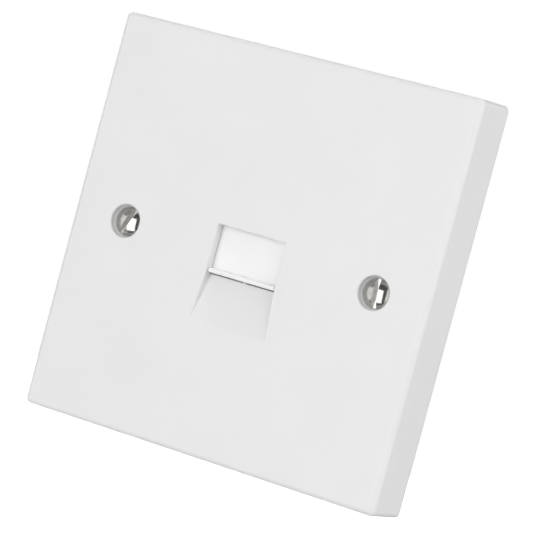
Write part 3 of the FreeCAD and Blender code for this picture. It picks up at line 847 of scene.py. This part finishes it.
# Each card: azimuth, elevation, half its width and height in degrees, greys at its ends, and distance.
cards = {
    "softbox_card": (-11.3, -9, 18.7, 24, (1.9, 1.9), 2.0),
    "left_softbox_card": (-37, -7, 7, 21, (0.8, 0.8), 1.8),
    "left_window_card": (-67, -7, 24, 20, (1.15, 0.35), 1.9),
    "right_card": (13.5, -2, 6.2, 40, (0.1, 0.1), 2.0),
    "upper_card": (-11, 26, 17.2, 11, (0.1, 0.1), 2.0),
    "lower_card": (-11, -38.5, 15.8, 5, (0.12, 0.2), 2.0),
    "left_card": (-65, 0, 34.5, 42, (0.33, 0.33), 2.2),
    "top_card": (-15, 54, 45, 16, (0.35, 0.35), 2.0),
    "bottom_card": (-15, -59, 45, 16, (0.35, 0.35), 2.0),
    "rear_card": (-152, 0, 40, 54, (0.05, 0.05), 2.0),
}


def seen_directly(tree, rays):
    """One for rays from the camera and for those that reach it by a mirror or through glass."""
    seen = rays.outputs["Is Camera Ray"]
    for kind in ("Is Glossy Ray", "Is Transmission Ray"):
        seen = add_node(tree, "Math", {0: seen, 1: rays.outputs[kind]}, operation="MAXIMUM").outputs[0]
    return seen


def white_world():
    """A white surround for the camera and for reflections, and a softer grey one for the light."""
    world = bpy.data.worlds.new("room")
    world.use_nodes = True
    tree = world.node_tree
    sky = tree.nodes["Background"]
    rays = add_node(tree, "LightPath")
    seen = seen_directly(tree, rays)
    strength = add_node(tree, "MapRange", {"Value": seen, "To Min": world_light, "To Max": 1.0})
    sky.inputs["Color"].default_value = white
    tree.links.new(strength.outputs[0], sky.inputs["Strength"])
    bpy.context.scene.world = world


def floor_material():
    """A pale floor that takes the object's shadow and runs out to white for the camera."""
    material, tree, shader = new_material("floor")
    shader.inputs["Base Color"].default_value = floor_grey
    shader.inputs["Roughness"].default_value = floor_roughness
    rays = add_node(tree, "LightPath")
    place = add_node(tree, "TexCoord").outputs["Object"]
    reach = add_node(tree, "VectorMath", {0: place}, operation="LENGTH")
    glow = add_node(tree, "MapRange", {"Value": reach.outputs["Value"], "From Min": floor_near,
                                       "From Max": floor_far, "To Min": floor_glow_near,
                                       "To Max": floor_glow_far})
    seen = seen_directly(tree, rays)
    strength = add_node(tree, "Math", {0: glow.outputs[0], 1: seen}, operation="MULTIPLY")
    shader.inputs["Emission Color"].default_value = white
    tree.links.new(strength.outputs[0], shader.inputs["Emission Strength"])
    return material


def flat_card(name, width, height, place, material):
    """A flat rectangle that stands at a place and faces the origin."""
    made = bmesh.new()
    bmesh.ops.create_grid(made, x_segments=1, y_segments=1, size=0.5)
    for vert in made.verts:
        vert.co = Vector((vert.co.x * width, vert.co.y * height, 0))
    card = loose_object(name, finished_mesh(name, made))
    card.data.materials.append(material)
    card.location = place
    card.rotation_euler = (-place).to_track_quat("Z", "Y").to_euler()
    return card


def around(azimuth, elevation, distance):
    """A place round the origin. Azimuth 0 is straight in front of the plate and 90 is to its right."""
    turn, rise = math.radians(azimuth), math.radians(elevation)
    level = math.cos(rise)
    return Vector((math.sin(turn) * level, -math.cos(turn) * level, math.sin(rise))) * distance


def soft_lamp(name, place, width, height, radiance, in_reflections):
    """A rectangular soft lamp that faces the origin, with its brightness given as radiance."""
    light = bpy.data.lights.new(name, "AREA")
    light.shape, light.size, light.size_y = "RECTANGLE", width, height
    light.energy = radiance * math.pi * width * height
    lamp = bpy.data.objects.new(name, light)
    bpy.context.scene.collection.objects.link(lamp)
    lamp.location = place
    lamp.rotation_euler = (-place).to_track_quat("-Z", "Y").to_euler()
    lamp.visible_camera = False
    lamp.visible_glossy = in_reflections


def reflection_card(name, azimuth, elevation, half_across, half_up, greys, distance):
    """A far card that shows only in reflections, given by its direction and the angles that it fills.
    Its brightness runs from one grey at its left end, as the plate sees it, to another at its right."""
    material, tree, shader = new_material(name)
    shader.inputs["Base Color"].default_value = black
    shader.inputs["Specular IOR Level"].default_value = 0
    shader.inputs["Emission Color"].default_value = white
    width, height = (2 * distance * math.tan(math.radians(half)) for half in (half_across, half_up))
    parts = add_node(tree, "SeparateXYZ", {"Vector": add_node(tree, "TexCoord").outputs["Object"]})
    level = add_node(tree, "MapRange", {"Value": parts.outputs["X"], "From Min": -width / 2,
                                        "From Max": width / 2, "To Min": greys[0], "To Max": greys[1]})
    tree.links.new(level.outputs[0], shader.inputs["Emission Strength"])
    card = flat_card(name, width, height, around(azimuth, elevation, distance), material)
    card.visible_camera = card.visible_diffuse = card.visible_shadow = False
    card.visible_transmission = False


white_world()
floor = flat_card("floor", floor_size, floor_size, Vector((0, 0, floor_height)), floor_material())
floor.visible_glossy = False
for lamp_name, (azimuth, elevation, distance, *rest) in lamps.items():
    soft_lamp(lamp_name, around(azimuth, elevation, distance), *rest)
for card_name, measures in cards.items():
    reflection_card(card_name, *measures)

camera_place = (0.2790, -0.5225, 0.0227)
camera_forward = Vector((-0.4721, 0.8806, -0.0407))
camera_up = Vector((-0.2471, -0.0879, 0.9650))
camera_sensor = 36.0
camera_lens = 191.97
camera_near = 0.01
camera_data = bpy.data.cameras.new("camera")
camera_data.sensor_width, camera_data.lens = camera_sensor, camera_lens
camera_data.clip_start = camera_near
camera = bpy.data.objects.new("camera", camera_data)
bpy.context.scene.collection.objects.link(camera)
camera_right = camera_forward.cross(camera_up)
camera_turn = Matrix((camera_right, camera_up, -camera_forward)).transposed()
camera.matrix_world = Matrix.Translation(camera_place) @ camera_turn.to_4x4()
bpy.context.scene.camera = camera
bpy.context.scene.view_settings.view_transform = "Standard"
